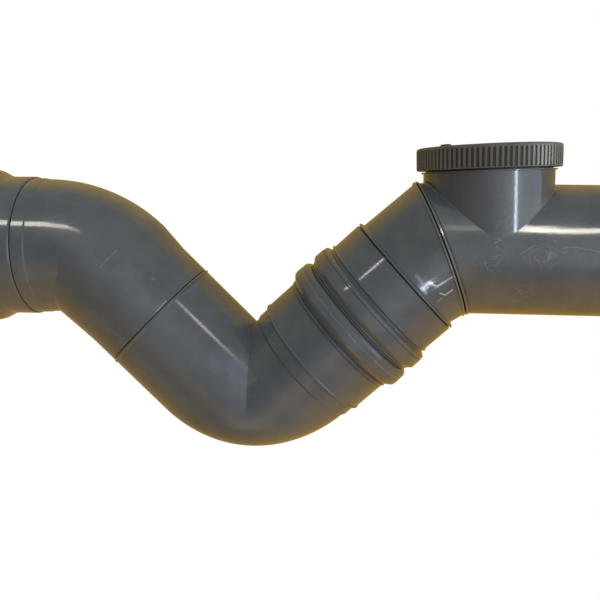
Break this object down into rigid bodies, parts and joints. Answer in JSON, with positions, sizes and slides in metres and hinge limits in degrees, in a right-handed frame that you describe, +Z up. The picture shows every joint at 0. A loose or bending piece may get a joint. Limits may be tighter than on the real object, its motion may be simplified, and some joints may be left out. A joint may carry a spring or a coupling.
{
  "type": "inline pipe trap",
  "caption": "Grey PVC running trap for a drain line: U-shaped water-seal bend with a ring-seal socket joint, a socketed outlet and a screw-capped access neck.",
  "frame": {"origin": "where the access neck's axis meets the axis of the inlet run", "axes": "+X along the run towards the inlet, +Z up, +Y away from the pictured side; all pipe axes lie in the plane Y = 0"},
  "size_m": [0.5735, 0.134, 0.2656],
  "materials": {
    "grey_pvc": "moulded grey PVC, glossy under a film of dust",
    "cap_pvc": "ribbed grey PVC, dull and dusty",
    "black_rubber": "black sealing rubber"
  },
  "bodies": {
    "pipe": {"outlet_socket": "grey_pvc", "outlet_seal": "black_rubber", "outlet_bend": "grey_pvc", "trap_bend": "grey_pvc", "lower_socket": "grey_pvc", "lower_seal": "black_rubber", "middle_nipple": "grey_pvc", "upper_seal": "black_rubber", "upper_socket": "grey_pvc", "upper_elbow": "grey_pvc", "access_tee": "grey_pvc"},
    "seal": {"cap_seal": "black_rubber"},
    "cap": {"access_cap": "cap_pvc"}
  },
  "joints": [
    {"name": "cap_lift", "type": "slide", "parent": "pipe", "child": "seal", "axis": [-0.0436, 0, 0.999], "range_m": [0, 0.0181]},
    {"name": "cap_turn", "type": "hinge", "parent": "seal", "child": "cap", "pos_m": [-0.00349, 0, 0.07992], "axis": [-0.0436, 0, 0.999], "range_deg": [0, 1080]}
  ],
  "couplings": [
    {"joint": "cap_lift", "follows": "cap_turn", "m_per_rad": 0.00095493}
  ]
}
